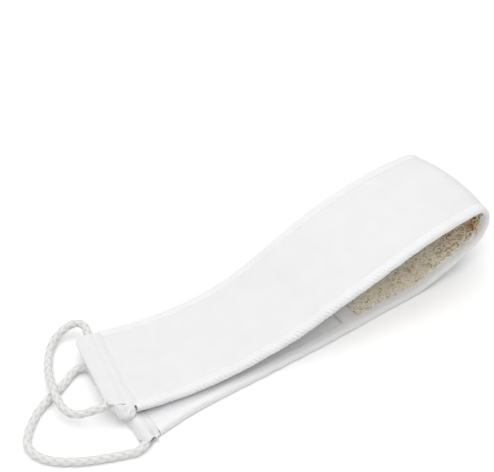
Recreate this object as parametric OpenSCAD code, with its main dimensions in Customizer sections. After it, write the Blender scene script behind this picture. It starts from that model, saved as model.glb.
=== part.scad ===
// Loofah back scrubber: a long quilted strap folded in half, loofah to the inside,
// with a rope handle threaded through a casing at each end.
// The lower leg lies flat. +X runs along it towards the fold and +Z is up.
// The origin is the middle of the flat face that the lower leg rests on.

/* [Strap] */
// Width over the edge bindings
strap_w = 100; // [80:1:130]
// Thickness of the outer cover cloth
cover_t = 2; // [1.5:0.1:3]
// Thickness of the wadding inside
wadding_t = 1.6; // [1:0.1:3]
// Thickness of the loofah panel
loofah_t = 3; // [2.4:0.1:5]
// Length of the cloth-faced end, from the end stitching to the crossband
end_cloth_len = 202; // [120:1:230]
// Width of the crossband that covers the end of the loofah
crossband_w = 16; // [10:1:25]

/* [Binding] */
// Width of the binding on the outer face
binding_outer_w = 9; // [6:0.5:12]
// Width of the binding on the inner face
binding_inner_w = 10; // [8:0.5:16]
// Thickness of the binding tape
binding_t = 1; // [0.6:0.1:1.4]

/* [Resting shape] */
// Length of the lower leg that lies flat
flat_len = 266; // [230:1:360]
// Length of the slow lift into the fold
lift_len = 92; // [76:1:110]
// Length of the tight turn at the top of the fold
turn_len = 53; // [46:1:70]
// Length of the upper leg, from the turn to its end stitching
upper_len = 353; // [300:1:420]

/* [Handles] */
// Diameter of the rope
rope_d = 7.5; // [6:0.1:8]
// Length of the lower casing beyond the end stitching
lower_casing_len = 19; // [19:0.5:26]
// Length of the upper casing beyond the end stitching
upper_casing_len = 23; // [22:0.5:28]
// Width of a casing at its free edge
casing_end_w = 80; // [70:1:95]
// Thickness of the casing cloth
casing_wall = 1.2; // [0.8:0.1:1.6]

/* [Hidden] */

$fn = 48;
cloth_white = "#f1f1f0";
cover_white = "#ececeb";
wadding_white = "#fafaf7";
loofah_tan = "#b99a63";
rope_white = "#efefec";

layer_gap = 0.2;      // between layers that are sewn together
cut_gap = 0.3;        // between lengths of the strap that turn against each other
rope_gap = 0.45;      // between the rope and its tunnel

// Cross-section heights, measured from mid-thickness towards the loofah side.
strap_t = cover_t + wadding_t + loofah_t + 2 * layer_gap;
half_t = strap_t / 2;
cover_in = -half_t + cover_t;
wadding_out = cover_in + layer_gap;
wadding_in = wadding_out + wadding_t;
facing_out = wadding_in + layer_gap;
arm_in = half_t - binding_t;
tuck_in = arm_in - layer_gap;

// Distances across the strap, measured from its centre line.
edge = strap_w / 2;
edge_round = 3;
hollow_round = 1.2;
bend_x = edge - edge_round;
tuck_edge = bend_x - layer_gap;
outer_arm = edge - binding_outer_w;
inner_arm = edge - binding_inner_w;
cover_edge = outer_arm - layer_gap;
facing_edge = inner_arm - layer_gap;
crown_drop = 0.3;

// Distances along the strap, from the lower end stitching to the upper one.
fold_start = flat_len;
turn_start = fold_start + lift_len;
upper_start = turn_start + turn_len;
strap_len = upper_start + upper_len;
lower_facing = end_cloth_len + crossband_w;
upper_facing = strap_len - lower_facing;
lift_cut = fold_start + 0.82 * lift_len;
mid_cut = turn_start + 0.45 * turn_len;
turn_cut = turn_start + 0.84 * turn_len;

// How the strap climbs, steers sideways and leans over along its length, in degrees.
CLIMB = [
    [0, 0], [fold_start, 0], [fold_start + lift_len / 2, 18], [turn_start, 37],
    [turn_start + turn_len / 2, 96], [upper_start, 175], [upper_start + upper_len / 4, 193],
    [upper_start + upper_len / 2, 204], [upper_start + 3 * upper_len / 4, 187], [strap_len, 172]
];
STEER = [
    [fold_start, 0], [turn_start, 0.5], [upper_start, 4], [upper_start + upper_len / 3, -2],
    [upper_start + 2 * upper_len / 3, -6.5], [strap_len, -11]
];
LEAN = [
    [fold_start + lift_len / 4, 0], [fold_start + 0.6 * lift_len, 2.5], [turn_start, -3], [upper_start, 1.5],
    [upper_start + upper_len / 3, 7], [upper_start + 2 * upper_len / 3, -2], [strap_len, 0]
];

// Direction along the strap, across it towards the near side, and towards the loofah side.
function along(s) = let (climb = lookup(s, CLIMB), steer = lookup(s, STEER))
    [cos(steer) * cos(climb), sin(steer) * cos(climb), sin(climb)];
function level_across(s) = let (steer = lookup(s, STEER)) [sin(steer), -cos(steer), 0];
function across(s) = let (flat = level_across(s), lean = lookup(s, LEAN))
    flat * cos(lean) + cross(along(s), -flat) * sin(lean);
function inward(s) = cross(along(s), -across(s));

// Mid-thickness line of the strap: a running sum of short straight steps.
WALK = [
    for (i = 0, at = [-flat_len / 2, 0, half_t]; i <= strap_len + 1; at = at + along(i + 0.5), i = i + 1) at
];
function middle(s) = WALK[floor(s)] + (s - floor(s)) * along((s + floor(s)) / 2);
function place(s, q) = middle(s) + q[0] * across(s) + q[1] * inward(s);

// Rings of the swept layers: close together in the fold and wider apart in the upper leg.
RINGS = [
    each [for (i = [0 : 8]) fold_start + i * lift_len / 9],
    each [for (i = [0 : 9]) turn_start + i * turn_len / 10],
    each [for (i = [0 : 24]) upper_start + i * upper_len / 24]
];
function rings(from, to) = [from, each [for (s = RINGS) if (s > from + 2 && s < to - 2) s], to];

// Splits a side quad from its low side on one ring to its high side on the next,
// so that two layers which meet share the same creases.
function quad(a, b, up, rising) = rising
    ? [[a, b + up, b], [a, a + up, b + up]]
    : [[a, a + up, b], [b, a + up, b + up]];

// A solid through rings of m points. Points j and m - 1 - j of a ring face each other.
module swept(points, m, low_first) {
    n = len(points) / m;
    sides = [
        for (i = [0 : n - 2]) for (j = [0 : m - 1])
            each quad(i * m + j, i * m + (j + 1) % m, m, low_first[j])
    ];
    first = [for (j = [0 : m / 2 - 2]) [j, j + 1, m - 2 - j, m - 1 - j]];
    last = [for (q = first) [for (k = [3 : -1 : 0]) (n - 1) * m + q[k]]];
    polyhedron(points, concat(sides, first, last));
}

// A layer of the strap between two distances along it. Its section is two lists of as many
// points each, the side away from the loofah and the side towards it.
module layer(section, from, to) {
    ring = concat(section[0], turned_back(section[1]));
    m = len(ring);
    swept(
        [for (s = rings(from, to)) for (q = ring) place(s, q)],
        m,
        [for (j = [0 : m - 1]) ring[j][0] <= ring[(j + 1) % m][0]]
    );
}

function turned_back(points) = [for (i = [len(points) - 1 : -1 : 0]) points[i]];
function mirrored(points) = turned_back([for (q = points) [-q[0], q[1]]]);
function level(height, count) = [
    for (i = [0 : count]) [-tuck_edge + i * 2 * tuck_edge / count, height]
];
function bend(radius_x, radius_z, centre_z, from) = [
    for (i = [0 : 3]) [bend_x + radius_x * sin(from + i * 30), centre_z - radius_z * cos(from + i * 30)]
];

// Cross-sections, with the near side to the right.
COVER = [
    [
        [-tuck_edge, -tuck_in], [-outer_arm, -tuck_in], [-cover_edge, -half_t + crown_drop],
        [-cover_edge / 2, -half_t], [0, -half_t], [cover_edge / 2, -half_t],
        [cover_edge, -half_t + crown_drop], [outer_arm, -tuck_in], [tuck_edge, -tuck_in]
    ],
    level(cover_in, 8)
];
WADDING = [level(wadding_out, 6), level(wadding_in, 6)];
LOOFAH = [
    level(facing_out, 6),
    [
        [-tuck_edge, tuck_in], [-inner_arm, tuck_in], [-facing_edge, half_t], [0, half_t],
        [facing_edge, half_t], [inner_arm, tuck_in], [tuck_edge, tuck_in]
    ]
];
END_CLOTH = [level(facing_out, 6), level(tuck_in, 6)];
CROSSBAND = [
    [for (i = [-1 : 1]) [i * facing_edge, arm_in]],
    [for (i = [-1 : 1]) [i * facing_edge, half_t]]
];
NEAR_BINDING = [
    [
        [outer_arm, -half_t], each bend(edge_round, edge_round, edge_round - half_t, 0),
        each bend(edge_round, edge_round, half_t - edge_round, 90), [inner_arm, half_t]
    ],
    [
        [outer_arm, -arm_in], each bend(hollow_round, arm_in - half_t + edge_round, edge_round - half_t, 0),
        each bend(hollow_round, arm_in - half_t + edge_round, half_t - edge_round, 90), [inner_arm, arm_in]
    ]
];
FAR_BINDING = [mirrored(NEAR_BINDING[0]), mirrored(NEAR_BINDING[1])];

module cover(from, to) { color(cover_white) layer(COVER, from, to); }
module wadding(from, to) { color(wadding_white) layer(WADDING, from, to); }
module loofah(from, to) { color(loofah_tan) layer(LOOFAH, from, to); }
module end_cloth(from, to) { color(cloth_white) layer(END_CLOTH, from, to); }
module crossband(from, to) { color(cloth_white) layer(CROSSBAND, from, to); }
module near_binding(from, to) { color(cloth_white) layer(NEAR_BINDING, from, to); }
module far_binding(from, to) { color(cloth_white) layer(FAR_BINDING, from, to); }

// Where the strap is cut into lengths that turn against each other.
LOWER = [0, lift_cut - cut_gap / 2];
LIFT = [lift_cut + cut_gap / 2, mid_cut - cut_gap / 2];
TURN = [mid_cut + cut_gap / 2, turn_cut - cut_gap / 2];
UPPER = [turn_cut + cut_gap / 2, strap_len];

module lower_cover() { cover(LOWER[0], LOWER[1]); }
module lower_wadding() { wadding(LOWER[0], LOWER[1]); }
module lower_end_cloth() { end_cloth(LOWER[0], lower_facing); }
module lower_crossband() { crossband(end_cloth_len, lower_facing); }
module lower_loofah() { loofah(lower_facing + layer_gap, LOWER[1]); }
module lower_near_binding() { near_binding(LOWER[0], LOWER[1]); }
module lower_far_binding() { far_binding(LOWER[0], LOWER[1]); }

module lift_cover() { cover(LIFT[0], LIFT[1]); }
module lift_wadding() { wadding(LIFT[0], LIFT[1]); }
module lift_loofah() { loofah(LIFT[0], LIFT[1]); }
module lift_near_binding() { near_binding(LIFT[0], LIFT[1]); }
module lift_far_binding() { far_binding(LIFT[0], LIFT[1]); }

module turn_cover() { cover(TURN[0], TURN[1]); }
module turn_wadding() { wadding(TURN[0], TURN[1]); }
module turn_loofah() { loofah(TURN[0], TURN[1]); }
module turn_near_binding() { near_binding(TURN[0], TURN[1]); }
module turn_far_binding() { far_binding(TURN[0], TURN[1]); }

module upper_cover() { cover(UPPER[0], UPPER[1]); }
module upper_wadding() { wadding(UPPER[0], UPPER[1]); }
module upper_end_cloth() { end_cloth(upper_facing, UPPER[1]); }
module upper_crossband() { crossband(upper_facing, upper_facing + crossband_w); }
module upper_loofah() { loofah(UPPER[0], upper_facing - layer_gap); }
module upper_near_binding() { near_binding(UPPER[0], UPPER[1]); }
module upper_far_binding() { far_binding(UPPER[0], UPPER[1]); }

// Casings. In a casing's own frame X runs outwards from the end stitching,
// Y across the strap and Z towards the loofah side.
tunnel_r = rope_d / 2 + rope_gap;
casing_r = tunnel_r + casing_wall;
tunnel_near = 9.8;
rope_at = 12;                           // rope's place in its tunnel, beside the join
lower_tunnel_z = casing_r - half_t;     // the lower casing bulges upwards, off the table
upper_tunnel_z = 0.5;
mouth_from = 24;                        // the upper casing is open past here, where its rope turns out
mouth_in = 12;

module at_end(out, inner, origin) {
    side = cross(inner, out);
    multmatrix([
        [out[0], side[0], inner[0], origin[0]],
        [out[1], side[1], inner[1], origin[1]],
        [out[2], side[2], inner[2], origin[2]],
        [0, 0, 0, 1]
    ]) children();
}
module at_lower_end() { at_end(-along(0), inward(0), middle(0)) children(); }
module at_upper_end() { at_end(along(strap_len), inward(strap_len), middle(strap_len)) children(); }

module casing_outline(tunnel_far, tunnel_z) {
    polygon([
        [cut_gap, -half_t], [tunnel_near, tunnel_z - casing_r], [tunnel_far, tunnel_z - casing_r],
        [tunnel_far, tunnel_z + casing_r], [tunnel_near, tunnel_z + casing_r], [cut_gap, half_t]
    ]);
    translate([tunnel_far, tunnel_z]) circle(casing_r);
}
module tunnel_outline(tunnel_far, tunnel_z) {
    translate([tunnel_near, tunnel_z]) circle(tunnel_r);
    translate([tunnel_far, tunnel_z]) circle(tunnel_r);
    translate([tunnel_near, tunnel_z - tunnel_r]) square([tunnel_far - tunnel_near, 2 * tunnel_r]);
}
module casing(length, tunnel_z) {
    tunnel_far = length - casing_r;
    difference() {
        intersection() {
            rotate([90, 0, 0]) linear_extrude(strap_w, center = true) casing_outline(tunnel_far, tunnel_z);
            linear_extrude(4 * casing_r, center = true) polygon([
                [0, -edge], [length, -casing_end_w / 2], [length, casing_end_w / 2], [0, edge]
            ]);
        }
        rotate([90, 0, 0]) linear_extrude(strap_w + 2, center = true) tunnel_outline(tunnel_far, tunnel_z);
    }
}
module lower_casing() { color(cloth_white) at_lower_end() casing(lower_casing_len, lower_tunnel_z); }
module upper_casing() {
    color(cloth_white) at_upper_end() difference() {
        casing(upper_casing_len, upper_tunnel_z);
        translate([mouth_in, -edge, upper_tunnel_z - tunnel_r])
            cube([upper_casing_len, edge - mouth_from, 2 * tunnel_r]);
    }
}

// Rope routes in the casings' own frames, from one side of the join right round to the other.
LOWER_ROUTE = [
    [12, 4.5, 1.9], [11.5, 18, 1.9], [11, 31, 1.9], [10.5, 41, 1.9], [12, 46.5, 1.8], [15.5, 51.3, 1.5],
    [20.5, 54, 1], [26.5, 54.5, 0.5], [36, 51.3, 0.3], [46, 47.3, 0.3], [56, 43, 0.3], [66, 38, 0.3],
    [76, 32, 0.3], [85.5, 25, 0.3], [93.5, 16, 0.3], [98.5, 5.5, 0.3], [98.5, -5, 0.3], [93.5, -14, 0.3],
    [85.5, -22.5, 0.3], [75.5, -30.5, 0.3], [64, -37, 0.3], [52, -41.5, 0.3], [41, -46, 0.3],
    [32, -50.5, 0.4], [26.5, -53.3, 0.6], [21.5, -54, 1], [16.8, -52.7, 1.5], [13.3, -49.5, 1.8],
    [11.3, -44.5, 1.9], [11, -32, 1.9], [11.5, -18, 1.9], [12, -4.5, 1.9]
];
UPPER_ROUTE = [
    [12, -4.4, 0.5], [12, -13.5, 0.4], [12.6, -21.8, 0.4], [14, -27.3, 0.4], [17.4, -32.2, 0.5],
    [22.4, -35, 0.9], [28.6, -35.5, 2.5], [35.4, -34.2, 4.9], [42.6, -32.3, 7.7], [49.2, -28.6, 9.8],
    [53.7, -21.8, 11.3], [56, -12.1, 11.9], [56.6, -2, 11.9], [55.9, 7.3, 11.8], [54.6, 17.7, 13.4],
    [52.5, 28.2, 15.9], [49.5, 38.9, 17.5], [45.4, 49.9, 17.9], [40.3, 59.6, 16.4], [33.9, 66.8, 13.7],
    [26.9, 70.7, 10.5], [20.4, 72.1, 7.3], [15, 71.4, 4.6], [10.9, 68.2, 2.4], [8.4, 63.1, 0.9],
    [8.6, 54.9, 0.1], [9.1, 45.1, -0.1], [10.4, 31.6, 0.1], [11.5, 16.1, 0.4], [12, 4.5, 0.5]
];
join_len = 8.6;
rope_sides = 10;

function unit(v) = v / norm(v);
function heading(route, i) = unit(route[min(i + 1, len(route) - 1)] - route[max(i - 1, 0)]);
function rope_ring(at, ahead) = let (side = unit(cross(ahead, [0, 0, 1])), top = cross(side, ahead))
    [for (j = [0 : rope_sides - 1]) let (turn = j * 360 / rope_sides)
        at + rope_d / 2 * (cos(turn) * side + sin(turn) * top)];

module rope(route) {
    color(rope_white) swept(
        [for (i = [0 : len(route) - 1]) each rope_ring(route[i], heading(route, i))],
        rope_sides,
        [for (j = [1 : rope_sides]) true]
    );
}
module join(tunnel_z) {
    color(rope_white) translate([rope_at, 0, tunnel_z]) rotate([90, 0, 0])
        cylinder(h = join_len, d = rope_d, center = true);
}
module lower_rope() { at_lower_end() rope(LOWER_ROUTE); }
module upper_rope() { at_upper_end() rope(UPPER_ROUTE); }
module lower_rope_join() { at_lower_end() join(lower_tunnel_z); }
module upper_rope_join() { at_upper_end() join(upper_tunnel_z); }

lower_cover();
lower_wadding();
lower_end_cloth();
lower_crossband();
lower_loofah();
lower_near_binding();
lower_far_binding();
lift_cover();
lift_wadding();
lift_loofah();
lift_near_binding();
lift_far_binding();
turn_cover();
turn_wadding();
turn_loofah();
turn_near_binding();
turn_far_binding();
upper_cover();
upper_wadding();
upper_end_cloth();
upper_crossband();
upper_loofah();
upper_near_binding();
upper_far_binding();
lower_casing();
lower_rope();
lower_rope_join();
upper_casing();
upper_rope();
upper_rope_join();
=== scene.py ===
import math

import bpy
import numpy as np
from mathutils import Matrix


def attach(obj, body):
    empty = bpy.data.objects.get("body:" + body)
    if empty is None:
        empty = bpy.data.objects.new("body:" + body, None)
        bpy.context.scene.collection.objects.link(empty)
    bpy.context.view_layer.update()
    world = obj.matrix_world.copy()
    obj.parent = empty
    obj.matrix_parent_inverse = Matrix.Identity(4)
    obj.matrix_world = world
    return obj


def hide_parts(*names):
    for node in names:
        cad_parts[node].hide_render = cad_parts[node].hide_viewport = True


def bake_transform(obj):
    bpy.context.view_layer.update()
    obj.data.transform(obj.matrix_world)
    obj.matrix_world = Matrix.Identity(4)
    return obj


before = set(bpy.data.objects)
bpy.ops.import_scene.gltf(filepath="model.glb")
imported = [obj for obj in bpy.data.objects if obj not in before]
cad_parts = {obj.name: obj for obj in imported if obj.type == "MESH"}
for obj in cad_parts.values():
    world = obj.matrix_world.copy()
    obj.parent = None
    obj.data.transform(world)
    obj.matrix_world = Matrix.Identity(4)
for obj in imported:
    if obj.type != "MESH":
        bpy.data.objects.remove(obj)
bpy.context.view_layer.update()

bl_info = {
    "name": "Loofah Back Scrubber",
    "version": (1, 0, 0),
    "blender": (4, 5, 0),
    "location": "3D View > Sidebar > Scrubber",
    "description": "Dresses a folded loofah back scrubber with cloth, loofah, rope and stitching",
    "category": "Add Mesh",
}

# Sizes are in millimetres up to mesh_piece(), which turns them to metres.
MM = 0.001

# The strap's resting line, as distances from the lower end stitching.
FOLD_START, TURN_START, UPPER_START, STRAP_END = 266.0, 358.0, 411.0, 764.0
LIFT_LENGTH, TURN_LENGTH = TURN_START - FOLD_START, UPPER_START - TURN_START
UPPER_LENGTH = STRAP_END - UPPER_START
HALF_WIDTH, HALF_THICK = 50.0, 3.5
CLIMB = (
    (0, 0), (FOLD_START, 0), (FOLD_START + LIFT_LENGTH / 2, 18), (TURN_START, 37),
    (TURN_START + TURN_LENGTH / 2, 96), (UPPER_START, 175), (UPPER_START + UPPER_LENGTH / 4, 193),
    (UPPER_START + UPPER_LENGTH / 2, 204), (UPPER_START + 3 * UPPER_LENGTH / 4, 187), (STRAP_END, 172),
)
STEER = (
    (FOLD_START, 0), (TURN_START, 0.5), (UPPER_START, 4), (UPPER_START + UPPER_LENGTH / 3, -2),
    (UPPER_START + 2 * UPPER_LENGTH / 3, -6.5), (STRAP_END, -11),
)
LEAN = (
    (FOLD_START + LIFT_LENGTH / 4, 0), (FOLD_START + 0.6 * LIFT_LENGTH, 2.5), (TURN_START, -3),
    (UPPER_START, 1.5), (UPPER_START + UPPER_LENGTH / 3, 7), (UPPER_START + 2 * UPPER_LENGTH / 3, -2),
    (STRAP_END, 0),
)

# Long pieces are made in three lengths. Each crosses one hinge of the fold.
LENGTHS = {
    "lower": {"ends": (0.0, 361.6), "hinge": 341.44, "reach": 20.0, "bodies": ("lower_leg", "fold_lift"),
              "cut": ("lower", "lift")},
    "fold": {"ends": (361.6, 392.2), "hinge": 381.85, "reach": 10.0, "bodies": ("fold_lift", "fold_turn"),
             "cut": ("turn",)},
    "upper": {"ends": (392.2, STRAP_END), "hinge": 402.52, "reach": 10.0,
              "bodies": ("fold_turn", "upper_leg"), "cut": ("upper",)},
}
BAND_FROM, LOOFAH_FROM = 202.0, 218.0
LOOFAH_TO, BAND_TO = STRAP_END - LOOFAH_FROM, STRAP_END - BAND_FROM

# Places across the strap.
OUTER_ARM, INNER_ARM, TUCKED_EDGE = 41.0, 40.0, 46.6
BEND_AT = HALF_WIDTH - HALF_THICK

# Heights of the strap's layers towards the loofah side.
COVER_BACK = -1.5
WADDING_FROM, WADDING_TO = -1.28, 0.2
FACE_BACK, FACE_TOP = 0.5, 2.3

# Cloth and small distances.
SLEEVE_THICK = 1.1          # thickness of that cloth
END_ROW = 0.15              # from the end of a length to its next row of faces
TABLE_GAP = 0.05            # the lower casing stays this far above the table
TUFT_ROOT = (-137.5, -48.5, 3.2)        # where loose thread ends hang out

# The rope handles, from one side of the join right round to the other: outwards from the end
# seam, to the near side, and towards the loofah side.
LOWER_ROUTE = (
    (12, 4.5, 1.9), (11.5, 18, 1.9), (11, 31, 1.9), (10.5, 41, 1.9), (12, 46.5, 1.8), (15.5, 51.3, 1.5),
    (20.5, 54, 1), (26.5, 54.5, 0.5), (36, 51.3, 0.3), (46, 47.3, 0.3), (56, 43, 0.3), (66, 38, 0.3),
    (76, 32, 0.3), (85.5, 25, 0.3), (93.5, 16, 0.3), (98.5, 5.5, 0.3), (98.5, -5, 0.3), (93.5, -14, 0.3),
    (85.5, -22.5, 0.3), (75.5, -30.5, 0.3), (64, -37, 0.3), (52, -41.5, 0.3), (41, -46, 0.3),
    (32, -50.5, 0.4), (26.5, -53.3, 0.6), (21.5, -54, 1), (16.8, -52.7, 1.5), (13.3, -49.5, 1.8),
    (11.3, -44.5, 1.9), (11, -32, 1.9), (11.5, -18, 1.9), (12, -4.5, 1.9),
)
UPPER_ROUTE = (
    (12, 4.4, 0.5), (12, 13.5, 0.4), (12.6, 21.8, 0.4), (14, 27.3, 0.4), (17.4, 32.2, 0.5),
    (22.4, 35, 0.9), (28.6, 35.5, 2.5), (35.4, 34.2, 4.9), (42.6, 32.3, 7.7), (49.2, 28.6, 9.8),
    (53.7, 21.8, 11.3), (56, 12.1, 11.9), (56.6, 2, 11.9), (55.9, -7.3, 11.8), (54.6, -17.7, 13.4),
    (52.5, -28.2, 15.9), (49.5, -38.9, 17.5), (45.4, -49.9, 17.9), (40.3, -59.6, 16.4), (33.9, -66.8, 13.7),
    (26.9, -70.7, 10.5), (20.4, -72.1, 7.3), (15, -71.4, 4.6), (10.9, -68.2, 2.4), (8.4, -63.1, 0.9),
    (8.6, -54.9, 0.1), (9.1, -45.1, -0.1), (10.4, -31.6, 0.1), (11.5, -16.1, 0.4), (12, -4.5, 0.5),
)

# The view: degrees round and above the strap, and how far the camera is rolled.
CAMERA_AZIMUTH, CAMERA_ELEVATION, CAMERA_ROLL = -34.2, 43.4, -1.24
CAMERA_DISTANCE, CAMERA_LENS = 1445.0, 111.1
CAMERA_TARGET = (56.4, 92.7, 20.0)
FLOOR_REACH, FLOOR_DROP = 4000.0, 0.3


# -------- the strap's line

def curve(at, stations):
    """Smooth curve through (place, value) stations: a cubic between each two, whose slope at a
    station is the mean of the slopes beside it. It stays level past both ends."""
    knot, value = np.array(stations, float).T
    slope = np.gradient(value, knot)
    i = np.clip(np.searchsorted(knot, at, "right") - 1, 0, len(knot) - 2)
    width = knot[i + 1] - knot[i]
    t = np.clip((at - knot[i]) / width, 0, 1)
    rise = (3 - 2 * t) * t * t
    bow = t * (1 - t) * width
    return value[i] + rise * (value[i + 1] - value[i]) + bow * ((1 - t) * slope[i] - t * slope[i + 1])


def ramp(value, start, end):
    """Straight rise from 0 at the start to 1 at the end, level past both."""
    return np.clip((value - start) / (end - start), 0, 1)


def straight(at, stations):
    """Straight lines through (place, value) stations, level past both ends."""
    return np.interp(at, *np.array(stations, float).T)


def along(s):
    """Unit vector along the strap: east turned by the steer and then raised by the climb."""
    climb, steer = np.radians(straight(s, CLIMB)), np.radians(straight(s, STEER))
    return np.stack([np.cos(steer) * np.cos(climb), np.sin(steer) * np.cos(climb), np.sin(climb)], -1)


def across(s):
    """Unit vector across the strap to its near side: level and square to the steer, then leant
    over about the strap's own line."""
    steer, lean = np.radians(straight(s, STEER)), np.radians(straight(s, LEAN))[..., None]
    level = np.stack([np.sin(steer), -np.cos(steer), 0 * steer], -1)
    return level * np.cos(lean) + np.cross(along(s), -level) * np.sin(lean)


def inward(s):
    """Unit vector out of the strap's loofah face: along times far side."""
    return np.cross(along(s), -across(s))


# Steps of one millimetre along the strap, and where each ends. They run past both ends of it.
OVERRUN = 60
STEPS = along(np.arange(-OVERRUN, STRAP_END + OVERRUN) + 0.5)
WALK = np.vstack([np.zeros(3), np.cumsum(STEPS, axis=0)])
WALK += np.array([-FOLD_START / 2, 0, HALF_THICK]) - WALK[OVERRUN]


def middle(s):
    """Mid-thickness line: a running sum of one millimetre steps along the strap."""
    whole = np.floor(s)
    return WALK[(whole + OVERRUN).astype(int)] + (s - whole)[..., None] * along((s + whole) / 2)


def place(s, side, height):
    """Point at a distance along the strap, across it to the near side, and towards the loofah. The
    lower leg's near edge is drawn in by up to two millimetres, the fold bulges out between its
    edges, and nothing sinks into the table."""
    s, side, height = np.broadcast_arrays(np.asarray(s, float), side, height)
    drawn_in = curve(s, ((0, 0), (14, 1.8), (120, 2.0), (190, 0.6), (240, 1.3), (300, 0.8), (380, 0)))
    bulge = curve(s, ((330, 0), (372, 1), (412, 1), (460, 0)))
    height = height * (1 - 0.3 * bulge * (side / HALF_WIDTH) ** 2)
    height = height - bulge * (4.2 * np.cos(math.pi / 2 * side / HALF_WIDTH) - 1.6)
    side = side - drawn_in * ramp(side, 0, HALF_WIDTH) ** 3
    points = middle(s) + side[..., None] * across(s) + height[..., None] * inward(s)
    points[..., 2] = np.maximum(points[..., 2], 0)
    return points


# -------- cloth's unevenness

def waves(s, side, length, seed):
    """Sum of eight slow sine waves that cross the cloth in scattered directions, about -1 to 1."""
    dice = np.random.default_rng(seed)
    total = 0.0
    for turn, start, stretch in dice.uniform((0, 0, 0.6), (math.tau, math.tau, 1.6), (8, 3)):
        walked = s * np.cos(turn) + side * np.sin(turn)
        total = total + np.sin(math.tau * walked / (length * stretch) + start)
    return total / 4


def to_end_seam(s):
    """Distance to the nearer end seam."""
    return np.minimum(np.abs(s), np.abs(STRAP_END - s))


def pinch(s):
    """Share of its thickness that the strap keeps: it narrows by an eighth at each end seam."""
    return 1 - 0.12 * np.exp(-((to_end_seam(s) / 3.0) ** 2))


def gathers(from_seam, side, fade):
    """Small ripples that an end seam gathers up: a sine wave across the strap, about seven
    millimetres long and a little uneven, that fades with the distance from the seam."""
    return 0.3 * np.exp(-from_seam / fade) * np.sin(math.tau * side / 7.3 + 1.4 * np.sin(side / 9))


def pucker(s, side):
    """The end seams' gathers on the strap, fading over some six millimetres."""
    return gathers(to_end_seam(s), side, 6)


# -------- meshes

def mesh_piece(name, points, faces, grain=None, tint=None, smooth=True):
    """Mesh object at the origin from points in millimetres. grain holds each point's place in the
    cloth, along, across and in depth, tint a number from 0 to 1 that colours it, and smooth says
    which faces are shaded smooth."""
    mesh = bpy.data.meshes.new(name)
    mesh.from_pydata((points * MM).tolist(), [], faces.tolist())
    mesh.polygons.foreach_set("use_smooth", np.broadcast_to(smooth, len(faces)))
    for label, kind, field, values in (
        ("grain", "FLOAT_VECTOR", "vector", grain), ("tint", "FLOAT", "value", tint),
    ):
        if values is not None:
            layer = mesh.attributes.new(label, kind, "POINT")
            layer.data.foreach_set(field, values.astype(np.float32).ravel())
    mesh.update()
    piece = bpy.data.objects.new(name, mesh)
    bpy.context.scene.collection.objects.link(piece)
    return piece


def closed_rings(name, points, grain=None, tint=None):
    """Closed solids from points[solid, ring, place on the ring]. Quads join each ring to the next,
    and each end is closed by flat quads between the ring's points j and m - 1 - j, so that two
    lengths meet without a line. The quads are turned round where the signed volume of the first
    solid comes out negative."""
    if points.ndim == 3:
        points = points[None]
    solids, rings, m = points.shape[:3]
    index = np.arange(solids * rings * m).reshape(solids, rings, m)
    here, ahead = index[:, :-1], index[:, 1:]
    sides = np.stack([here, np.roll(here, -1, 2), np.roll(ahead, -1, 2), ahead], -1).reshape(-1, 4)
    j = np.arange(m // 2 - 1)
    cap = np.stack([j, m - 1 - j, m - 2 - j, j + 1], -1)
    caps = np.concatenate([index[:, 0][:, cap], index[:, -1][:, cap[:, ::-1]]]).reshape(-1, 4)
    faces = np.concatenate([sides, caps])
    flat = points.reshape(-1, 3)
    first = faces[(faces < rings * m).all(1)]
    a, b, c, d = (flat[first[:, k]] - flat[0] for k in range(4))
    if (a * np.cross(b, c) + a * np.cross(c, d)).sum() < 0:
        faces = faces[:, ::-1]
    return mesh_piece(name, flat, faces, grain, tint, np.arange(len(faces)) < len(sides))


def strap_solid(name, s, outer_side, outer_height, inner_side, inner_height, tint=None):
    """Layer of the strap: two lists of places across it, with a height at each distance along it,
    joined to one closed ring at each distance. A tint is a function of the two distances."""
    side = np.concatenate([outer_side, inner_side[::-1]])
    height = np.concatenate([outer_height, inner_height[:, ::-1]], axis=1)
    along_grid, side_grid = np.broadcast_arrays(s[:, None], side[None, :])
    points = place(along_grid, side_grid, height * pinch(along_grid))
    grain = np.stack([along_grid, side_grid, height], -1)
    return closed_rings(name, points, grain, tint and tint(along_grid, side_grid))


def walked_along(line):
    """Length walked along the line to each of its points."""
    return np.concatenate([[0], np.cumsum(np.linalg.norm(np.diff(line, axis=0), axis=1))])


def spokes_round(lines, turn, normal):
    """Unit vectors at the angles of turn in the plane square to each point's line. The first is
    square to the normal too."""
    ahead = np.gradient(lines, axis=-2)
    ahead /= np.linalg.norm(ahead, axis=-1, keepdims=True)
    beside = np.cross(ahead, np.broadcast_to(np.asarray(normal, float), ahead.shape))
    beside /= np.maximum(np.linalg.norm(beside, axis=-1, keepdims=True), 1e-9)
    above = np.cross(beside, ahead)
    return np.cos(turn)[:, None] * beside[..., None, :] + np.sin(turn)[:, None] * above[..., None, :]


def tubes(name, lines, radius, sides, normal=(0, 0, 1), tint=None, tapered=False):
    """Round tubes along lines[tube, point]. Each ring lies square to its line. A tapered tube
    narrows to about a third at its ends, as the root of a parabola."""
    turn = math.tau * np.arange(sides) / sides
    radius = np.broadcast_to(radius, lines.shape[:2])
    if tapered:
        run = np.linspace(0, 1, lines.shape[1])
        radius = radius * (0.35 + 0.65 * np.sqrt(np.clip(4 * run * (1 - run), 0, 1)))
    points = lines[:, :, None] + radius[:, :, None, None] * spokes_round(lines, turn, normal)
    if tint is not None:
        tint = np.broadcast_to(tint[:, None, None], points.shape[:3])
    return closed_rings(name, points, None, tint)


def bend_over(piece):
    """Bakes the piece's placement into its mesh."""
    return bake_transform(piece)


def stand_for(length, part):
    """Hides that part's solids in the length."""
    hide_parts(*[f"{cut}_{part}" for cut in length["cut"]])


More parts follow.
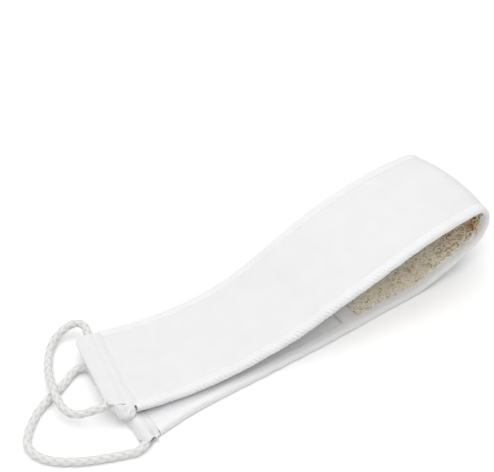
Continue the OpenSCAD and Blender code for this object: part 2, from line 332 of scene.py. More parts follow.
def distances(ends, spacing):
    """Distances from one end to the other, evenly spaced at about the spacing. One more stands just
    inside each end, so that two lengths that meet are shaded by the same slope and no line shows."""
    even = np.linspace(*ends, int(round((ends[1] - ends[0]) / spacing)) + 1)
    return np.r_[even[0], even[0] + END_ROW, even[1:-1], even[-1] - END_ROW, even[-1]]


# -------- materials

def linear(hex_colour):
    """sRGB hex colour as linear red, green and blue, and a full alpha."""
    srgb = np.array([int(hex_colour[k:k + 2], 16) for k in (1, 3, 5)]) / 255
    rgb = np.where(srgb <= 0.04045, srgb / 12.92, ((srgb + 0.055) / 1.055) ** 2.4)
    return (*rgb.tolist(), 1.0)


def add_node(tree, kind, inputs=None, links=None, **settings):
    """Adds a node with its settings, its sockets' values, and links from other nodes' outputs."""
    made = tree.nodes.new(kind)
    for name, value in settings.items():
        setattr(made, name, value)
    for name, value in (inputs or {}).items():
        made.inputs[name].default_value = value
    for name, source in (links or {}).items():
        tree.links.new(source, made.inputs[name])
    return made


def new_material(name, roughness, **shader):
    """Material with one Principled shader, and its tree and shader. The other names are sockets of
    the shader, with _ for a space."""
    material = bpy.data.materials.new(name)
    material.use_nodes = True
    tree = material.node_tree
    bsdf = tree.nodes["Principled BSDF"]
    bsdf.inputs["Roughness"].default_value = roughness
    for socket, value in shader.items():
        bsdf.inputs[socket.replace("_", " ")].default_value = value
    return material, tree, bsdf


def colour_ramp(tree, source, *stops):
    """Colour ramp over a node's output. Each stop is a place and a hex colour."""
    ramp = add_node(tree, "ShaderNodeValToRGB", links={"Fac": source})
    marks = ramp.color_ramp.elements
    while len(marks) < len(stops):
        marks.new(0.5)
    for mark, (at, colour) in zip(marks, stops):
        mark.position = at
        mark.color = linear(colour)
    return ramp.outputs["Color"]


def grain_in_millimetres(tree):
    """The piece's own place in its cloth, in millimetres."""
    return add_node(tree, "ShaderNodeAttribute", attribute_name="grain").outputs["Vector"]


def own_tint(tree):
    """The piece's own number from 0 to 1."""
    return add_node(tree, "ShaderNodeAttribute", attribute_name="tint").outputs["Fac"]


def raise_bumps(tree, bsdf, strength, relief, height):
    """Bumps on the shader's normal, with a relief in millimetres."""
    bump = add_node(
        tree, "ShaderNodeBump", {"Strength": strength, "Distance": relief * MM}, {"Height": height}
    )
    tree.links.new(bump.outputs["Normal"], bsdf.inputs["Normal"])


def cotton(name, tone, shade, thread, relief, slant=0.0):
    """Bleached cotton. Two sets of thread bands cross, as in a plain weave, or at a slant, as in a
    twill tape, and a slow mottle keeps the white from looking like plastic."""
    material, tree, bsdf = new_material(
        name, 0.92, Sheen_Weight=0.25, Sheen_Roughness=0.6, Specular_IOR_Level=0.2
    )
    cloth = grain_in_millimetres(tree)
    turned = add_node(
        tree, "ShaderNodeMapping", {"Rotation": (0, 0, slant), "Scale": (1 / thread,) * 3}, {"Vector": cloth}
    ).outputs["Vector"]
    warp, weft = (
        add_node(
            tree, "ShaderNodeTexWave", {"Scale": 0.314, "Distortion": 0.6, "Detail": 1.0}, {"Vector": turned},
            wave_type="BANDS", bands_direction=way,
        ).outputs["Fac"]
        for way in ("X", "Y")
    )
    weave = add_node(tree, "ShaderNodeMath", None, {0: warp, 1: weft}, operation="MAXIMUM").outputs[0]
    fluff = add_node(
        tree, "ShaderNodeTexNoise", {"Scale": 0.9, "Detail": 3.0, "Roughness": 0.6}, {"Vector": cloth}
    ).outputs["Fac"]
    height = add_node(tree, "ShaderNodeMath", None, {0: weave, 1: fluff}, operation="ADD").outputs[0]
    raise_bumps(tree, bsdf, 0.5, relief, height)
    mottle = add_node(
        tree, "ShaderNodeTexNoise", {"Scale": 0.05, "Detail": 2.0}, {"Vector": cloth}
    ).outputs["Fac"]
    tree.links.new(colour_ramp(tree, mottle, (0.3, shade), (0.7, tone)), bsdf.inputs["Base Color"])
    return material


def loofah_fibre():
    """Dried loofah: straw-like plant fibre, pale with some brown strands, dull with a faint woody
    shine. Each strand's own tint picks its colour."""
    material, tree, bsdf = new_material("Loofah fibre", 0.72, Specular_IOR_Level=0.3)
    colour = colour_ramp(
        tree, own_tint(tree), (0.0, "#94703E"), (0.2, "#DFD0AC"), (0.45, "#FAF4E5"), (1.0, "#FFFCF4")
    )
    tree.links.new(colour, bsdf.inputs["Base Color"])
    return material


def loofah_mat():
    """The pressed loofah under the loose strands: the same fibre, with painted shade darkening its holes,
    which are two to four millimetres across, and browner where the tint is high, which is partly the loofah's
    own browning and partly painted shade of the fold's turn."""
    material, tree, bsdf = new_material("Pressed loofah", 0.85, Specular_IOR_Level=0.15)
    cloth = grain_in_millimetres(tree)
    holes = add_node(
        tree, "ShaderNodeTexVoronoi", {"Scale": 0.36}, {"Vector": cloth},
        feature="DISTANCE_TO_EDGE",
    ).outputs["Distance"]
    strands = add_node(
        tree, "ShaderNodeTexNoise", {"Scale": 1.1, "Detail": 4.0, "Distortion": 1.5}, {"Vector": cloth}
    ).outputs["Fac"]
    mixed = add_node(
        tree, "ShaderNodeMath", None, {0: strands, 1: holes}, operation="SUBTRACT"
    ).outputs[0]
    # Painted shade: the holes, low in the bump, take the darker colours.
    colour = colour_ramp(tree, mixed, (0.05, "#A08E68"), (0.3, "#F1E8D0"), (0.6, "#FDF8EA"))
    # A Mix node has its factor at socket 0 and its two colours at 6 and 7, and gives its colour at 2.
    # Multiplies in the browning and the painted shade of the fold's turn, which the tint carries.
    browned_and_turn_shaded = add_node(
        tree, "ShaderNodeMix", {7: linear("#C49A66")}, {0: own_tint(tree), 6: colour},
        data_type="RGBA", blend_type="MULTIPLY",
    ).outputs[2]
    tree.links.new(browned_and_turn_shaded, bsdf.inputs["Base Color"])
    raise_bumps(tree, bsdf, 0.8, 0.8, mixed)
    return material


def cotton_rope():
    """Braided cotton cord: soft white yarn with painted shade that greys it down in the braid, where the tint
    is low, and fine fibre along it."""
    material, tree, bsdf = new_material(
        "Braided cotton", 0.9, Sheen_Weight=0.3, Sheen_Roughness=0.5, Specular_IOR_Level=0.2
    )
    # Painted shade: the braid's grooves, where the tint is low, are greyer.
    colour = colour_ramp(tree, own_tint(tree), (0.0, "#C4C3C1"), (0.4, "#D9D8D7"), (1.0, "#E4E4E3"))
    tree.links.new(colour, bsdf.inputs["Base Color"])
    cloth = grain_in_millimetres(tree)
    yarn = add_node(
        tree, "ShaderNodeTexNoise", {"Scale": 1.6, "Detail": 4.0, "Roughness": 0.7}, {"Vector": cloth}
    ).outputs["Fac"]
    raise_bumps(tree, bsdf, 0.6, 0.4, yarn)
    return material


def plain(name, colour, roughness, sheen=0.0):
    """One even colour, for thread, wadding and the floor."""
    return new_material(
        name, roughness, Base_Color=linear(colour), Sheen_Weight=sheen, Specular_IOR_Level=0.2
    )[0]


MATERIALS = {}


def dress(piece, finish):
    """Gives the piece its finish in a new material slot."""
    if not MATERIALS:
        MATERIALS.update(
            # Soft brushed cotton, woven plain. Threads under half a millimetre are drawn at 0.9.
            cover=cotton("Brushed cotton", "#E3E3E3", "#E0E0E0", 0.9, 0.12),
            # The same cotton on the inner face, unbrushed, a touch greyer.
            facing=cotton("Cotton lining", "#E6E6E7", "#E1E1E3", 0.8, 0.10),
            # Folded cotton twill tape, its ribs at a slant.
            tape=cotton("Cotton twill tape", "#E9E9E9", "#E5E5E5", 0.8, 0.16, slant=math.radians(35)),
            fibre=loofah_fibre(),
            mat=loofah_mat(),
            rope=cotton_rope(),
            thread=plain("Spun thread", "#F0F0F0", 0.7, sheen=0.2),
            wadding=plain("Polyester wadding", "#F2F2EF", 1.0),
            floor=plain("Painted board", "#FFFFFF", 0.9),
        )
    piece.data.materials.append(MATERIALS[finish])
    return piece


# -------- sizes and colours for a user

class ScrubberSizes(bpy.types.PropertyGroup):
    """Sizes of the visible detail."""

    rope_diameter: bpy.props.FloatProperty(
        name="Rope diameter", description="Across the braid", default=0.0075, min=0.005, max=0.01,
        unit="LENGTH", subtype="DISTANCE",
    )
    stitch_pitch: bpy.props.FloatProperty(
        name="Stitch pitch", description="From one binding stitch to the next", default=0.0042, min=0.002,
        max=0.008, unit="LENGTH", subtype="DISTANCE",
    )
    rib_depth: bpy.props.FloatProperty(
        name="Rib depth", description="Depth of the ribs that the stitches draw into the binding",
        default=0.00075, min=0.0, max=0.0015, unit="LENGTH", subtype="DISTANCE",
    )
    fibre_share: bpy.props.FloatProperty(
        name="Loose fibre", description="Strands of loofah on each square centimetre", default=12.0,
        min=0.0, max=30.0,
    )


class ScrubberLight(bpy.types.PropertyGroup):
    """Strength and colour of the studio light."""

    world_strength: bpy.props.FloatProperty(
        name="Surrounding light", description="Strength of the even light from all round", default=0.36,
        min=0.0, max=3.0,
    )
    key_power: bpy.props.FloatProperty(
        name="Key light", description="Power of the large soft light", default=54.0, min=0.0, max=500.0,
        unit="POWER",
    )
    tone: bpy.props.FloatVectorProperty(
        name="Light colour", description="Colour of the surrounding light", default=linear("#FFFFFF")[:3],
        size=3, min=0.0, max=1.0, subtype="COLOR",
    )


# -------- operators

def standing(right, up, back, position):
    """Placement whose own axes are the three vectors, at a position in metres."""
    axes = np.eye(4)
    axes[:3] = np.column_stack([right, up, back, position])
    return Matrix(axes)


class SCRUBBER_OT_stage(bpy.types.Operator):
    """Camera, pale floor and soft studio light"""

    bl_idname = "scrubber.stage"
    bl_label = "Stage"

    def execute(self, context):
        """The camera stands back from its target by the azimuth and elevation, and its right and up
        are turned by the roll."""
        light = context.scene.scrubber_light
        round_by, above, roll = np.radians((CAMERA_AZIMUTH, CAMERA_ELEVATION, CAMERA_ROLL))
        back = np.array([
            math.sin(round_by) * math.cos(above), -math.cos(round_by) * math.cos(above), math.sin(above)
        ])
        level = np.cross((0, 0, 1), back)
        level /= np.linalg.norm(level)
        raised = np.cross(back, level)
        right = level * math.cos(roll) + raised * math.sin(roll)
        up = raised * math.cos(roll) - level * math.sin(roll)
        data = bpy.data.cameras.new("Camera")
        data.lens, data.sensor_width, data.sensor_fit = CAMERA_LENS, 36.0, "HORIZONTAL"
        data.clip_start, data.clip_end = 0.05, 50.0
        camera = bpy.data.objects.new("Camera", data)
        position = (np.array(CAMERA_TARGET) + CAMERA_DISTANCE * back) * MM
        camera.matrix_world = standing(right, up, back, position)
        context.scene.collection.objects.link(camera)
        context.scene.camera = camera

        world = bpy.data.worlds.new("Studio")
        world.use_nodes = True
        surround = world.node_tree.nodes["Background"]
        surround.inputs["Color"].default_value = (*light.tone, 1)
        surround.inputs["Strength"].default_value = light.world_strength
        context.scene.world = world
        context.scene.view_settings.view_transform = "Standard"

        for name, size, power, position in (
            ("Key light", 3.2, light.key_power, (0.0, 0.1, 2.0)),
            ("Fill light", 1.6, light.key_power * 0.08, (-1.2, -0.9, 1.2)),
        ):
            lamp = bpy.data.lights.new(name, "AREA")
            lamp.size, lamp.energy = size, power
            holder = bpy.data.objects.new(name, lamp)
            aim = np.array(CAMERA_TARGET) * MM - np.array(position)
            from_light = -aim / np.linalg.norm(aim)
            side = np.cross((0, 0, 1), from_light)
            side /= np.linalg.norm(side)
            holder.matrix_world = standing(side, np.cross(from_light, side), from_light, position)
            context.scene.collection.objects.link(holder)

        corner = FLOOR_REACH * np.array([[-1.0, -1], [1, -1], [1, 1], [-1, 1]])
        level_points = np.column_stack([corner, np.full(4, -FLOOR_DROP)])
        floor = mesh_piece("floor", level_points, np.array([[0, 1, 2, 3]]))
        dress(floor, "floor")
        return {"FINISHED"}


class SCRUBBER_OT_ropes(bpy.types.Operator):
    """Braided rope handles and the bound joins inside the casings"""

    bl_idname = "scrubber.ropes"
    bl_label = "Rope handles"

    def execute(self, context):
        size = context.scene.scrubber_sizes.rope_diameter / MM
        for end, route in (("lower", LOWER_ROUTE), ("upper", UPPER_ROUTE)):
            at, out, side, up = casing_axes(end)
            line = at + rope_line(route, 0.5) @ np.stack([out, side, up])
            rope = braided_rope(f"{end}_rope_handle", line, size)
            dress(rope, "rope")
            join = bound_join(f"{end}_rope_binding", end, route[0], size)
            dress(join, "thread")
            for piece, node in ((rope, "rope"), (join, "rope_join")):
                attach(piece, f"{end}_handle")
                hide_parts(f"{end}_{node}")
        return {"FINISHED"}


def rope_line(route, spacing):
    """Smooth line through the route's points, at even steps: each coordinate is a smooth curve over
    the length walked from point to point."""
    points = np.array(route, float)
    walked = walked_along(points)
    fine = np.linspace(0, walked[-1], 2000)
    line = np.stack([curve(fine, np.column_stack([walked, points[:, k]])) for k in range(3)], -1)
    travelled = walked_along(line)
    even = np.linspace(0, travelled[-1], int(travelled[-1] / spacing) + 1)
    return np.stack([np.interp(even, travelled, line[:, k]) for k in range(3)], -1)


def braided_rope(name, line, size, turns=3, advance=9.6, around=42):
    """Round braid. Two families of strands wind opposite ways round the line, and the surface is the
    higher of the two at each point. Each family rises and sinks as it passes over and under the
    other, and the tint is that height."""
    run = walked_along(line)[:, None]
    turn = math.tau * np.arange(around) / around
    one = turns * turn + math.tau * run / advance
    other = turns * turn - math.tau * run / advance
    over = 0.5 + 0.5 * np.cos(turns * turn) * np.ones_like(run)
    crest = np.maximum(
        (0.35 + 0.65 * over) * (0.5 + 0.5 * np.cos(one)) ** 0.6,
        (1 - 0.65 * over) * (0.5 + 0.5 * np.cos(other)) ** 0.6,
    )
    radius = size / 2 - 0.75 + 0.85 * crest
    to_end = np.minimum(run, run[-1] - run)
    radius = radius * np.sqrt(np.clip(to_end / 1.5, 0.04, 1))
    points = line[:, None] + radius[..., None] * spokes_round(line, turn, (0, 0, 1))
    grain = np.stack(np.broadcast_arrays(run, size / 2 * turn, radius), -1)
    return closed_rings(name, points, grain, crest)


def bound_join(name, end, start, size):
    """Thread wound round the two rope ends where they meet, beside the route's start: a short tube
    whose radius ripples once for each turn of thread, 0.6 millimetres apart."""
    at, out, side, up = casing_axes(end)
    run = np.linspace(-4.2, 4.2, 70)
    line = at + start[0] * out + start[2] * up + run[:, None] * side
    radius = (size / 2 - 0.25 + 0.15 * np.abs(np.sin(math.pi * run / 0.6)))[None]
    return tubes(name, line[None], radius, 20, normal=up)


class SCRUBBER_OT_cover(bpy.types.Operator):
    """Padded outer cover and the wadding behind it"""

    bl_idname = "scrubber.cover"
    bl_label = "Cover and wadding"

    def execute(self, context):
        """The cover is a crowned surface between the bindings. It dips to a groove where each
        binding is sewn down, and slow waves keep it from being flat."""
        for name, length in LENGTHS.items():
            s = distances(length["ends"], 2.0)
            side = TUCKED_EDGE * np.sin(np.linspace(-math.pi / 2, math.pi / 2, 81))
            crown = curve(
                np.abs(side), ((0, 3.6), (20, 3.58), (33, 3.5), (38, 3.25), (41, 2.75), (TUCKED_EDGE, 2.3))
            )
            softness = ramp(np.abs(side), 40, 26)
            swell = 0.28 * waves(s[:, None], side, 46, 11) + 0.14 * waves(s[:, None], side, 17, 12)
            outer = -(crown + swell * softness + pucker(s[:, None], side) * softness)
            inner_side = np.linspace(-TUCKED_EDGE, TUCKED_EDGE, 81)
            inner = np.full((len(s), 81), COVER_BACK)
            cover = strap_solid(f"{name}_cover_cloth", s, side, outer, inner_side, inner)
            dress(cover, "cover")

            across_at = np.linspace(-TUCKED_EDGE, TUCKED_EDGE, 31)
            loft = 0.12 * waves(s[:, None], across_at, 12, 21)
            back = np.full((len(s), 31), WADDING_FROM)
            fill = strap_solid(f"{name}_wadding_layer", s, across_at, back, across_at, WADDING_TO + loft)
            dress(fill, "wadding")
            for piece, part in ((cover, "cover"), (fill, "wadding")):
                stand_for(length, part)
                bend_over(piece)
        return {"FINISHED"}


def binding_section(arc, radius):
    """Places on the folded tape's section at distances round it: along the outer arm, round the
    edge in a half circle, and back along the inner arm. Returns side, height and their normal."""
    arm = BEND_AT - OUTER_ARM
    turned = math.pi * HALF_THICK
    angle = np.clip((arc - arm) / HALF_THICK, 0, math.pi)
    side = BEND_AT + radius * np.sin(angle)
    side = side - np.clip(arm - arc, 0, None) - np.clip(arc - arm - turned, 0, None)
    return side, -radius * np.cos(angle), np.sin(angle), -np.cos(angle)


def binding_strip(name, length, sign, pitch, depth):
    """One length of folded tape. Its outer skin swells between the sewn edges and is drawn into
    slanting ribs by the stitches: the ribs' height is the root of a cosine's size, so that the
    valleys between them are sharp."""
    s = distances(length["ends"], 0.7)[:, None]
    whole = BEND_AT - OUTER_ARM + math.pi * HALF_THICK + BEND_AT - INNER_ARM
    arc = np.linspace(0, whole, 45)
    side, height, out_side, out_height = binding_section(arc, HALF_THICK)
    swell = curve(arc, (
        (0, -0.8), (0.7, -0.3), (1.7, -0.25), (3.6, 0.3), (6, 0.35), (10, 0.1), (14, 0.05), (19, 0.05),
        (21, 0), (whole - 1, -0.3), (whole - 0.5, -0.35), (whole, -0.9),
    ))
    hold = curve(arc, ((0, 0.3), (2, 0.55), (5, 1), (15, 1), (19, 0.6), (whole, 0.3)))
    rib = np.sqrt(np.abs(np.cos(math.pi * (s + 0.8 * arc) / pitch))) - 0.75
    ribbed = curve(s, ((0, 0.3), (330, 0.25), (440, 0.2), (540, 0.8), (600, 1), (STRAP_END, 0.7)))
    ribbed = ribbed * (1 if sign > 0 else 0.45)
    unsteady = 0.18 * waves(s, arc * 2, 15, 31 + (sign > 0))
    lift = swell + depth * ribbed * hold * rib * (1 + 0.35 * waves(s, 0 * arc, 40, 33)) + unsteady * hold
    in_side, in_height, _, _ = binding_section(arc, HALF_THICK - 1)
    sides = np.concatenate([
        np.broadcast_to(side + out_side * lift, lift.shape), np.broadcast_to(in_side[::-1], lift.shape)
    ], 1)
    heights = np.concatenate([
        height + out_height * lift, np.broadcast_to(in_height[::-1], lift.shape)
    ], 1)
    s_grid = np.broadcast_to(s, sides.shape)
    grain = np.stack([s_grid, np.broadcast_to(np.concatenate([arc, arc[::-1]]), sides.shape), 0 * s_grid], -1)
    return closed_rings(name, place(s_grid, sign * sides, heights * pinch(s_grid)), grain)


class SCRUBBER_OT_bindings(bpy.types.Operator):
    """Folded tape bindings along both edges"""

    bl_idname = "scrubber.bindings"
    bl_label = "Edge bindings"

    def execute(self, context):
        sizes = context.scene.scrubber_sizes
        for name, length in LENGTHS.items():
            for edge, sign in (("near", 1), ("far", -1)):
                tape = binding_strip(
                    f"{name}_{edge}_tape", length, sign, sizes.stitch_pitch / MM, sizes.rib_depth / MM
                )
                dress(tape, "tape")
                stand_for(length, f"{edge}_binding")
                bend_over(tape)
        return {"FINISHED"}


class SCRUBBER_OT_inner_face(bpy.types.Operator):
    """End cloths, crossbands and the loofah panel on the inner face"""

    bl_idname = "scrubber.inner_face"
    bl_label = "Inner face"

    def execute(self, context):
        """Each end cloth swells a little and sinks beside the crossband. Each crossband is a flat
        tape with rounded edges. The loofah is a lumpy mat."""
        side = np.linspace(-TUCKED_EDGE, TUCKED_EDGE, 81)
        for end, ends, band in (
            ("lower", (0, LOOFAH_FROM), BAND_FROM), ("upper", (LOOFAH_TO, STRAP_END), BAND_TO),
        ):
            s = distances(ends, 2.0)[:, None]
            to_band = np.abs(s - band)
            under = (s > band) if end == "lower" else (s < band)
            sink = 1.8 * np.exp(-((to_band / 2.2) ** 2)) * ~under + 0.5 * under
            soft = ramp(np.abs(side), 41, 29)
            top = FACE_TOP + 0.75 * soft * ~under + 0.25 * waves(s, side, 30, 41) * soft - sink
            top = np.maximum(top + pucker(s, side) * soft, 1.2)
            bottom = np.full(top.shape, FACE_BACK)
            lining = strap_solid(f"{end}_lining", s[:, 0], side, bottom, side, top)
            dress(lining, "facing")
            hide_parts(f"{end}_end_cloth")
            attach(lining, f"{end}_leg")

            ends = sorted((band, LOOFAH_FROM if end == "lower" else LOOFAH_TO))
            s = distances(ends, 0.5)[:, None]
            reach = INNER_ARM + 1.6
            wide = np.linspace(-reach, reach, 61)
            from_edge = np.minimum(s - ends[0], ends[1] - s)
            roll = np.sqrt(np.clip(from_edge / 1.2, 0.05, 1))
            sewn = 0.35 * np.exp(-(((from_edge - 2.2) / 0.8) ** 2))
            face = 2.2 + 1.35 * roll - sewn + 0.12 * waves(s, wide, 14, 43)
            band_piece = strap_solid(f"{end}_crossband_tape", s[:, 0], wide, 0 * face + 1.9, wide, face)
            dress(band_piece, "tape")
            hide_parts(f"{end}_crossband")
            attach(band_piece, f"{end}_leg")

        share = context.scene.scrubber_sizes.fibre_share
        for name, length in LENGTHS.items():
            ends = (max(length["ends"][0], LOOFAH_FROM + 0.2), min(length["ends"][1], LOOFAH_TO - 0.2))
            s = distances(ends, 1.0)[:, None]
            side = np.linspace(-TUCKED_EDGE, TUCKED_EDGE, 121)
            soft = ramp(np.abs(side), 42, 39)
            face = FACE_TOP + (0.7 + 0.45 * waves(s, side, 7, 51) + 0.4 * waves(s, side, 3.4, 52)) * soft
            back = np.full(face.shape, FACE_BACK)
            # The mat's tint is the loofah's browning and the painted shade of the fold's turn.
            mat = strap_solid(f"{name}_loofah_mat", s[:, 0], side, back, side, face, turn_shade_and_browning)
            dress(mat, "mat")
            stand_for(length, "loofah")
            bend_over(mat)
            area = (ends[1] - ends[0]) * 2 * INNER_ARM / 100
            fibre = loofah_strands(f"{name}_loofah_fibre", ends, int(area * share), len(name))
            dress(fibre, "fibre")
            bend_over(fibre)
        return {"FINISHED"}


def turn_shade_and_browning(s, side):
    """How brown and dark the loofah is painted, 0 to 1: darker about the middle of the panel, where it lies
    inside the fold's turn, in patches some three centimetres across. This is partly the loofah's own browning
    and partly painted shade of the turn."""
    shade_and_browning_along = curve(s, ((300, 0), (345, 0.28), (385, 0.8), (430, 0.8), (510, 0)))
    return np.clip(shade_and_browning_along * (1 + 0.5 * waves(s, side, 30, 71)), 0, 1)


def loofah_strands(name, ends, count, seed):
    """Loose curly strands. Each is a short arc in the strap's own face, with a height that arches
    up from the mat between its two ends, and its own radius, sweep and tint."""
    dice = np.random.default_rng(70 + seed)
    run = np.linspace(-0.5, 0.5, 9)
    start_s = dice.uniform(ends[0] + 2, ends[1] - 2, (count, 1))
    reach = INNER_ARM + curve(start_s, ((LOOFAH_FROM, 0), (300, 1), (385, 3.5), (430, 0)))
    start_side = dice.uniform(-1, 1, (count, 1)) * reach
    radius = dice.uniform(2.0, 4.2, (count, 1))
    sweep = dice.uniform(2.2, 4.2, (count, 1))
    heading = dice.uniform(0, math.tau, (count, 1))
    angle = heading + sweep * run
    s = start_s + radius * (np.cos(angle) - np.cos(heading))
    side = start_side + radius * (np.sin(angle) - np.sin(heading))
    s = np.clip(s, ends[0], ends[1])
    side = np.clip(side, -reach - 1.4, reach + 1.4)
    arch = dice.uniform(0.2, 1.5, (count, 1)) * np.cos(math.pi * run) ** 0.7
    height = 2.7 + np.clip(np.abs(side) - INNER_ARM, 0, 0.9) + arch + 0.25 * np.sin(angle * 3)
    thick = np.broadcast_to(dice.uniform(0.4, 0.75, (count, 1)), s.shape)
    # Strands inside the fold's turn are darkened by the same browning and painted shade.
    tint = np.clip(dice.beta(2.4, 1.8, count) - 0.4 * turn_shade_and_browning(start_s, start_side)[:, 0], 0, 1)
    return tubes(name, place(s, side, height), thick, 4, normal=inward(s), tint=tint)


def casing_axes(end):
    """Middle of the end seam, and unit vectors outwards from it, to the near side, and to the
    loofah side."""
    s = np.array(0.0 if end == "lower" else STRAP_END)
    outwards = -along(s) if end == "lower" else along(s)
    return middle(s), outwards, across(s), inward(s)


# How far each casing reaches out from its end seam. Curves over the distance outwards: half the
# pillow's height, its middle, and the rims of the near mouth's two layers and of the far mouth. The
# place across where the near mouth starts to gape, the share by which the free edge slants, whether
# the loose layer is rumpled and the near mouth pressed shut, and the cloth's flat length.
CASING_SHAPES = {
    "upper": {
        "reach": 23.3,
        "half": ((0, 3.15), (1.5, 3.4), (3.5, 4.2), (5.5, 4.4), (7.5, 4.5), (10, 5.1), (14, 5.1),
                 (18, 4.3), (21.5, 3.2), (23.3, 2.6)),
        "centre": ((0, 0), (6, 0.3), (12, 0.5), (23.3, 0.5)),
        "near_outer": ((0, 46.5), (1.5, 45.4), (6, 43), (14, 40.6), (20, 39.5), (22.3, 38.7),
                       (23.1, 37), (23.3, 33)),
        "near_inner": ((0, 48), (2, 50.8), (7, 51.8), (12, 51), (16, 47), (20, 39.5), (22.3, 36), (23.3, 33)),
        "far": ((0, -49), (1.5, -47), (5, -45.8), (15, -46), (20, -46), (22.3, -44.8), (23.3, -41.5)),
        "mouth": 31.5, "slant": 0.0, "rumple": 1.0, "shut": 0.0, "flat": 54.0,
    },
    "lower": {
        "reach": 19.0,
        "half": ((0, 3.2), (1.2, 3.6), (4, 3.9), (7, 4.7), (11, 5.3), (14, 5.0), (16.5, 4.1), (18, 3.1),
                 (19, 2.6)),
        "centre": ((0, 0), (4, 0.5), (8, 1.5), (12, 1.9), (15, 1.3), (19, 0)),
        "near_outer": ((0, 49), (2, 49.5), (6, 50.5), (10, 53), (13, 54.3), (16, 53), (18, 49), (19, 44)),
        "near_inner": ((0, 49), (2, 50), (6, 51), (10, 53.5), (13, 54.8), (16, 53.5), (18, 49), (19, 44)),
        "far": ((0, -49), (2, -48), (10, -46), (15, -43.5), (18, -42.6), (19, -41)),
        "mouth": 60.0, "slant": 0.11, "rumple": 0.0, "shut": 1.0, "flat": 48.0,
    },
}


def casing_skin(shape, around, over, thickness):
    """One skin of a casing. around runs 0 to 2, out along the outer layer to the free edge and back
    along the other. over runs -1 to 1 from the far mouth to the near one. Outwards is the sine of a
    quarter turn, the height is the pillow's half height rounded off towards the free edge, and each
    mouth's rim is a curve over the distance outwards. The loose end of the inner layer is rolled to a
    rumpled hem, the outer layer droops on it, and the shut end is pressed flat beside the rope."""
    quarter = np.sin(math.pi / 2 * around)
    out = shape["reach"] * quarter - 0.7 * (1 - quarter)
    outer_layer = around < 1
    near = np.where(outer_layer, curve(out, shape["near_outer"]), curve(out, shape["near_inner"]))
    far = curve(out, shape["far"])
    side = far + (near - far) * (over + 1) / 2
    gape = ramp(side, shape["mouth"], shape["mouth"] + 5)
    gape = gape * gape * (3 - 2 * gape)
    rounding = np.maximum(np.sqrt(np.clip(1 - quarter ** 8, 0, 1)), gape)
    half = curve(out, shape["half"])
    half = half + gape * ramp(out, 0, 9) * np.maximum(4.6 - half, 0) - thickness
    droop = ramp(side, 34, 39) * ramp(out, 0, 4) * ramp(out, 20, 16)
    half = half - 1.1 * shape["rumple"] * droop * outer_layer
    half = half * rounding
    ripple = (0.25 + 0.45 * gape) * waves(out, side, 13, 61) + gathers(out, side, 5) * ramp(out, 0, 2)
    loose = shape["rumple"] * ramp(out, 0, 2.5) * ramp(out, 21.5, 17.5) * ~outer_layer
    wide = 5.6 + 1.8 * ramp(out, 17, 13)
    roll = 7.8 * np.sqrt(np.clip(1 - ((side - near + wide - 0.6) / wide) ** 2, 0, 1)) * (thickness > 0)
    hem = ramp(side, 40, 44) * (1.4 * waves(out, side, 8, 64) + 0.7 * waves(out, side, 4, 65))
    hem = loose * (hem - roll + 2.2 * ramp(side, 44, 50))
    shut = shape["shut"] * ramp(side, 42, 49) * ramp(out, 9.5, 5.5)
    centre = curve(out, shape["centre"]) - 2.0 * shut
    half = half * (1 - 0.6 * shut)
    pillow = half + ripple * rounding
    height = np.where(outer_layer, centre - pillow, centre + pillow + hem)
    slanted = 1 - shape["slant"] * ramp(side, 44, 30) * ramp(out, 0, 12)
    return np.broadcast_arrays(out * slanted - thickness * quarter ** 8, side, height)


def casing_sleeve(end):
    """Cloth sleeve round the rope: an outer skin and an inner one, a cloth's thickness apart, joined
    at the two mouths and at the end seam."""
    shape = CASING_SHAPES[end]
    around = np.linspace(0, 2, 121)[:, None]
    over = np.sin(np.linspace(-math.pi / 2, math.pi / 2, 111))[None]
    outer = np.stack(casing_skin(shape, around, over, 0.0), -1)
    inner = np.stack(casing_skin(shape, around, over, SLEEVE_THICK), -1)[:, ::-1]
    local = np.concatenate([outer, inner], 1)
    at, out, side, up = casing_axes(end)
    points = at + local[..., :1] * out + local[..., 1:2] * side + local[..., 2:] * up
    if end == "lower":
        points[..., 2] = np.maximum(points[..., 2], TABLE_GAP)
    return closed_rings(f"{end}_casing_cloth", points, local)


class SCRUBBER_OT_casings(bpy.types.Operator):
    """Cloth casings that carry the rope handles"""

    bl_idname = "scrubber.casings"
    bl_label = "Casings"

    def execute(self, context):
        for end, shape in CASING_SHAPES.items():
            sleeve = casing_sleeve(end)
            dress(sleeve, "cover")
            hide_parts(f"{end}_casing")
            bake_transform(sleeve)
        return {"FINISHED"}


def stitches(s_from, s_to, side_from, side_to, height):
    """Places along stitches: each runs from one point of the strap to another and arches up
    between them as a sine. The ends are arrays, one entry for each stitch."""
    run = np.linspace(0, 1, 7)[None]
    s = s_from[:, None] + (s_to - s_from)[:, None] * run
    side = side_from[:, None] + (side_to - side_from)[:, None] * run
    arch = 0.3 * np.sin(math.pi * run) - 0.15
    return s, side, height[:, None] + np.sign(height)[:, None] * arch


def stitch_rows(length, pitch):
    """Every stitch of one length of strap: two rows on each binding, rows across it at the end
    seams, and rows along the crossbands' edges."""
    start, end = length["ends"]
    rows = []
    first = np.arange(math.ceil(start / pitch) + 0.15, (end - 1) / pitch - 0.7) * pitch
    for side, height in ((OUTER_ARM + 1.5, -3.05), (INNER_ARM + 1.6, 3.05)):
        for sign in (1, -1):
            flat = np.full(len(first), sign * side)
            rows.append((first, first + 0.62 * pitch, flat, flat, np.full(len(first), height)))
    crossings = [(at, 46, level) for level in (-2.2, 1.9) for at in (1.0, STRAP_END - 1.0)]
    crossings += [(at, INNER_ARM, 3.2) for at in (
        BAND_FROM + 2.2, LOOFAH_FROM - 2.2, LOOFAH_TO + 2.2, BAND_TO - 2.2
    )]
    for at, reach, height in crossings:
        if start <= at <= end:
            side = np.arange(-reach, reach - 3, 3.4)
            level = np.full(len(side), at)
            rows.append((level, level, side, side + 2.2, np.full(len(side), height)))
    return [np.concatenate(part) for part in zip(*rows)]


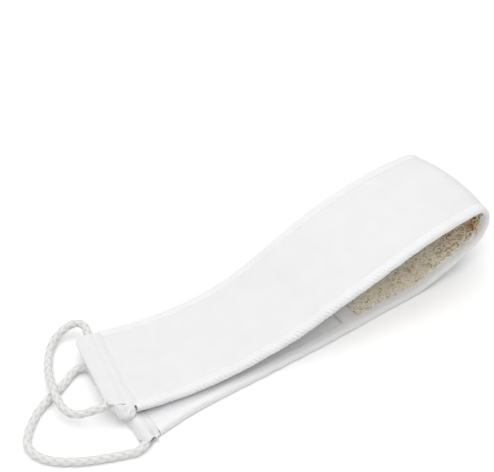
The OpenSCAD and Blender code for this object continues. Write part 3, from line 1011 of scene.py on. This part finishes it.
class SCRUBBER_OT_seams(bpy.types.Operator):
    """Stitches along the bindings, crossbands and end seams, and the loose thread ends"""

    bl_idname = "scrubber.seams"
    bl_label = "Stitching"

    def execute(self, context):
        pitch = context.scene.scrubber_sizes.stitch_pitch / MM
        for name, length in LENGTHS.items():
            s, side, height = stitches(*stitch_rows(length, pitch))
            lines = place(s, side, height * pinch(s))
            seam = tubes(f"{name}_stitching", lines, 0.26, 6, normal=inward(s), tapered=True)
            dress(seam, "thread")
            bend_over(seam)

        dice = np.random.default_rng(5)
        run = np.linspace(0, 1, 14)[None]
        swing = dice.uniform(-0.9, 0.9, (7, 1)) - 1.9
        spread = dice.uniform(3.0, 6.5, (7, 1))
        curl = dice.uniform(-2.5, 2.5, (7, 1))
        bow = swing + curl * run
        lines = np.array(TUFT_ROOT) + np.stack([
            dice.uniform(-1.5, 1.5, (7, 1)) + spread * run * np.cos(bow), spread * run * np.sin(bow),
            -2.2 * run ** 2 + dice.uniform(-0.8, 0.8, (7, 1)),
        ], -1)
        lines[..., 2] = np.maximum(lines[..., 2], 0.4)
        tuft = tubes("loose_threads", lines, 0.3, 5)
        dress(tuft, "thread")
        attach(tuft, "lower_leg")
        return {"FINISHED"}


class SCRUBBER_PT_panel(bpy.types.Panel):
    """Shows the sizes and the light, and a button for each operator"""

    bl_idname = "SCRUBBER_PT_panel"
    bl_label = "Back scrubber"
    bl_space_type = "VIEW_3D"
    bl_region_type = "UI"
    bl_category = "Scrubber"

    def draw(self, context):
        scene = context.scene
        for group in (scene.scrubber_sizes, scene.scrubber_light):
            box = self.layout.box()
            for name in group.__annotations__:
                box.prop(group, name)
        for operator in OPERATORS:
            self.layout.operator(operator.bl_idname)


OPERATORS = (
    SCRUBBER_OT_stage, SCRUBBER_OT_ropes, SCRUBBER_OT_cover, SCRUBBER_OT_bindings,
    SCRUBBER_OT_inner_face, SCRUBBER_OT_casings, SCRUBBER_OT_seams,
)
CLASSES = (ScrubberSizes, ScrubberLight, *OPERATORS, SCRUBBER_PT_panel)


def register():
    for made in CLASSES:
        bpy.utils.register_class(made)
    bpy.types.Scene.scrubber_sizes = bpy.props.PointerProperty(type=ScrubberSizes)
    bpy.types.Scene.scrubber_light = bpy.props.PointerProperty(type=ScrubberLight)


def unregister():
    del bpy.types.Scene.scrubber_light
    del bpy.types.Scene.scrubber_sizes
    for made in reversed(CLASSES):
        bpy.utils.unregister_class(made)


def main():
    register()
    bpy.ops.scrubber.stage()
    bpy.ops.scrubber.ropes()
    bpy.ops.scrubber.cover()
    bpy.ops.scrubber.bindings()
    bpy.ops.scrubber.inner_face()
    bpy.ops.scrubber.casings()
    bpy.ops.scrubber.seams()
    bpy.context.view_layer.update()


if __name__ == "__main__":
    main()
